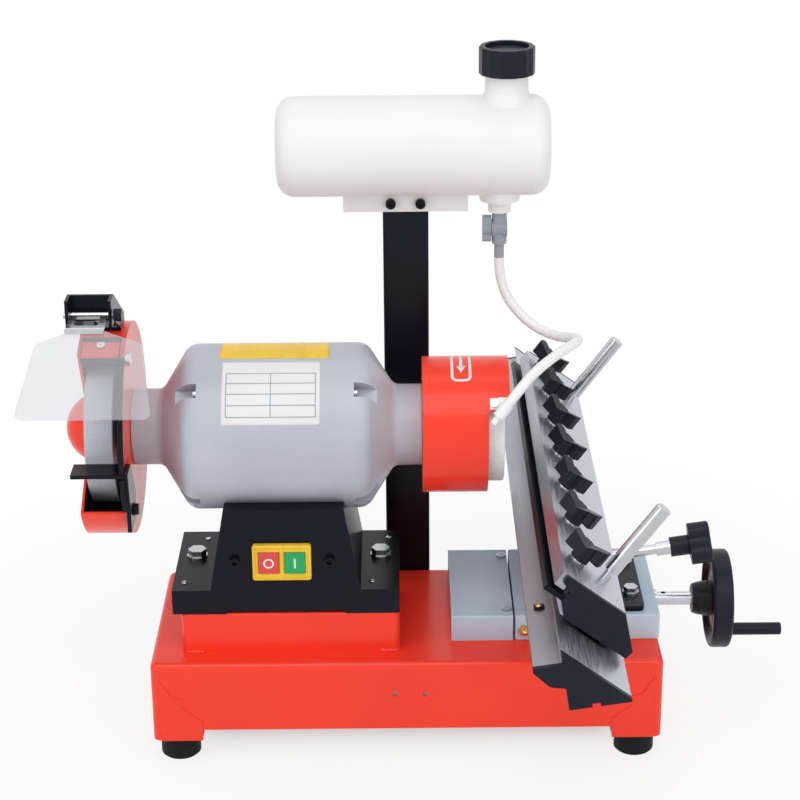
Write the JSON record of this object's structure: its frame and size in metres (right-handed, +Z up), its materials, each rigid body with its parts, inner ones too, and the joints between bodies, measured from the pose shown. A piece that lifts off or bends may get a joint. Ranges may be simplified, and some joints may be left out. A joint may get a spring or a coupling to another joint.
{
  "type": "tool and cutter grinder",
  "caption": "Bench blade grinder: motor with a guarded wheel and a cup wheel, tilting rail with a sliding clamp carriage, cross slide, coolant tank and hose.",
  "frame": {"origin": "centre of the bounding box at the floor under the feet", "axes": "+X along the motor shaft to the handwheel, +Y from the operator to the back, +Z up"},
  "size_m": [0.7558, 0.743, 0.6845],
  "materials": {
    "red_paint": "gloss",
    "black_paint": "satin",
    "motor_paint": "satin",
    "slide_paint": "satin",
    "aluminium": "anodised",
    "bright_steel": "zinc plated",
    "black_steel": "black oxide",
    "black_plastic": "matte",
    "wheel_grit": "rough",
    "cup_grit": "rough",
    "clear_plastic": "clear",
    "tank_plastic": "translucent",
    "yellow_plastic": "gloss",
    "red_plastic": "gloss",
    "green_plastic": "gloss",
    "brass": "machined",
    "rubber": "matte",
    "grey_plastic": "matte"
  },
  "bodies": {
    "base": {"base_shell": "red_paint", "motor_riser": "red_paint", "rubber_feet": "rubber", "zinc_screws": "bright_steel", "socket_screws": "black_steel", "pedestal": "black_paint", "switch_frame": "yellow_plastic", "motor_housing": "motor_paint", "end_bell_left": "motor_paint", "end_bell_right": "motor_paint", "motor_bearings": "bright_steel", "wheel_guard": "red_paint", "wheel_guard_cover": "red_paint", "spark_deflector": "black_paint", "shield_bracket": "black_paint", "cup_guard": "red_paint", "coolant_nozzle": "tank_plastic", "tank_post": "black_paint", "coolant_tank": "tank_plastic", "valve_body": "grey_plastic", "coolant_hose": "tank_plastic", "slide_bed": "slide_paint", "slide_cover": "slide_paint", "feed_nut": "brass"},
    "spindle": {"spindle_shaft": "bright_steel", "grinding_wheel": "wheel_grit", "cup_wheel": "cup_grit", "flanges_and_nuts": "bright_steel"},
    "saddle": {"saddle": "slide_paint", "slide_gib": "brass", "tilt_bracket": "black_paint", "bracket_bolts": "bright_steel"},
    "handwheel": {"feed_screw": "bright_steel", "handwheel": "black_plastic"},
    "crank_grip": {"crank_grip": "black_plastic"},
    "rail": {"rail": "aluminium", "rail_end_caps": "black_plastic", "rail_shoe": "bright_steel"},
    "lock_knob": {"lock_knob": "black_plastic", "lock_stud": "bright_steel"},
    "carriage": {"carriage": "aluminium", "carriage_end_caps": "black_plastic", "blade_rest": "black_steel", "clamp_bar": "aluminium", "clamp_studs": "bright_steel", "push_handles": "bright_steel"},
    "tool_rest": {"tool_rest": "black_paint"},
    "eye_shield": {"eye_shield": "clear_plastic", "shield_clip": "bright_steel"},
    "tank_cap": {"tank_cap": "black_plastic"},
    "valve_lever": {"valve_lever": "grey_plastic"},
    "stop_button": {"stop_button": "red_plastic"},
    "start_button": {"start_button": "green_plastic"},
    "wing_knob_1": {"wing_knob_1": "black_plastic"},
    "wing_knob_2": {"wing_knob_2": "black_plastic"},
    "wing_knob_3": {"wing_knob_3": "black_plastic"},
    "wing_knob_4": {"wing_knob_4": "black_plastic"},
    "wing_knob_5": {"wing_knob_5": "black_plastic"},
    "wing_knob_6": {"wing_knob_6": "black_plastic"},
    "wing_knob_7": {"wing_knob_7": "black_plastic"}
  },
  "joints": [
    {"name": "spindle_spin", "type": "hinge", "parent": "base", "child": "spindle", "pos_m": [-0.14, -0.0105, 0.325], "axis": [1, 0, 0], "continuous": true},
    {"name": "cross_feed", "type": "slide", "parent": "base", "child": "saddle", "axis": [1, 0, 0], "range_m": [0, 0.03]},
    {"name": "handwheel_turn", "type": "hinge", "parent": "saddle", "child": "handwheel", "pos_m": [0.3, 0, 0.122], "axis": [1, 0, 0], "range_deg": [-1, 5401]},
    {"name": "crank_grip_spin", "type": "hinge", "parent": "handwheel", "child": "crank_grip", "pos_m": [0.355, 0, 0.0855], "axis": [1, 0, 0], "continuous": true},
    {"name": "rail_tilt", "type": "hinge", "parent": "saddle", "child": "rail", "pos_m": [0.1545, 0, 0.1865], "axis": [0, 1, 0], "range_deg": [-4, 8]},
    {"name": "lock_knob_turn", "type": "hinge", "parent": "rail", "child": "lock_knob", "pos_m": [0.28307, -0.042, 0.20572], "axis": [0.989, 0, 0.1478], "range_deg": [0, 360]},
    {"name": "carriage_slide", "type": "slide", "parent": "rail", "child": "carriage", "axis": [0, 1, 0], "range_m": [-0.22, 0.24]},
    {"name": "shield_lift", "type": "hinge", "parent": "base", "child": "eye_shield", "pos_m": [-0.30975, -0.071, 0.465], "axis": [-1, 0, 0], "range_deg": [0, 75]},
    {"name": "tool_rest_slide", "type": "slide", "parent": "base", "child": "tool_rest", "axis": [0, 1, 0], "range_m": [-0.009, 0.002]},
    {"name": "cap_lift", "type": "slide", "parent": "base", "child": "tank_cap", "axis": [0, 0, 1], "range_m": [0, 0.045]},
    {"name": "valve_turn", "type": "hinge", "parent": "base", "child": "valve_lever", "pos_m": [0.072, 0.0885, 0.498], "axis": [1, 0, 0], "range_deg": [0, 90]},
    {"name": "stop_press", "type": "slide", "parent": "base", "child": "stop_button", "axis": [0, 1, 0], "range_m": [0, 0.003], "stiffness_N_per_m": 500},
    {"name": "start_press", "type": "slide", "parent": "base", "child": "start_button", "axis": [0, 1, 0], "range_m": [0, 0.003], "stiffness_N_per_m": 500},
    {"name": "wing_knob_1_turn", "type": "hinge", "parent": "carriage", "child": "wing_knob_1", "pos_m": [0.15369, -0.2595, 0.3115], "axis": [0.5948, 0, 0.8039], "range_deg": [-180, 180]},
    {"name": "wing_knob_2_turn", "type": "hinge", "parent": "carriage", "child": "wing_knob_2", "pos_m": [0.15369, -0.1795, 0.3115], "axis": [0.5948, 0, 0.8039], "range_deg": [-180, 180]},
    {"name": "wing_knob_3_turn", "type": "hinge", "parent": "carriage", "child": "wing_knob_3", "pos_m": [0.15369, -0.0995, 0.3115], "axis": [0.5948, 0, 0.8039], "range_deg": [-180, 180]},
    {"name": "wing_knob_4_turn", "type": "hinge", "parent": "carriage", "child": "wing_knob_4", "pos_m": [0.15369, -0.0195, 0.3115], "axis": [0.5948, 0, 0.8039], "range_deg": [-180, 180]},
    {"name": "wing_knob_5_turn", "type": "hinge", "parent": "carriage", "child": "wing_knob_5", "pos_m": [0.15369, 0.0605, 0.3115], "axis": [0.5948, 0, 0.8039], "range_deg": [-180, 180]},
    {"name": "wing_knob_6_turn", "type": "hinge", "parent": "carriage", "child": "wing_knob_6", "pos_m": [0.15369, 0.1405, 0.3115], "axis": [0.5948, 0, 0.8039], "range_deg": [-180, 180]},
    {"name": "wing_knob_7_turn", "type": "hinge", "parent": "carriage", "child": "wing_knob_7", "pos_m": [0.15369, 0.2205, 0.3115], "axis": [0.5948, 0, 0.8039], "range_deg": [-180, 180]}
  ],
  "couplings": [
    {"joint": "handwheel_turn", "follows": "cross_feed", "rad_per_m": 3141.6}
  ]
}
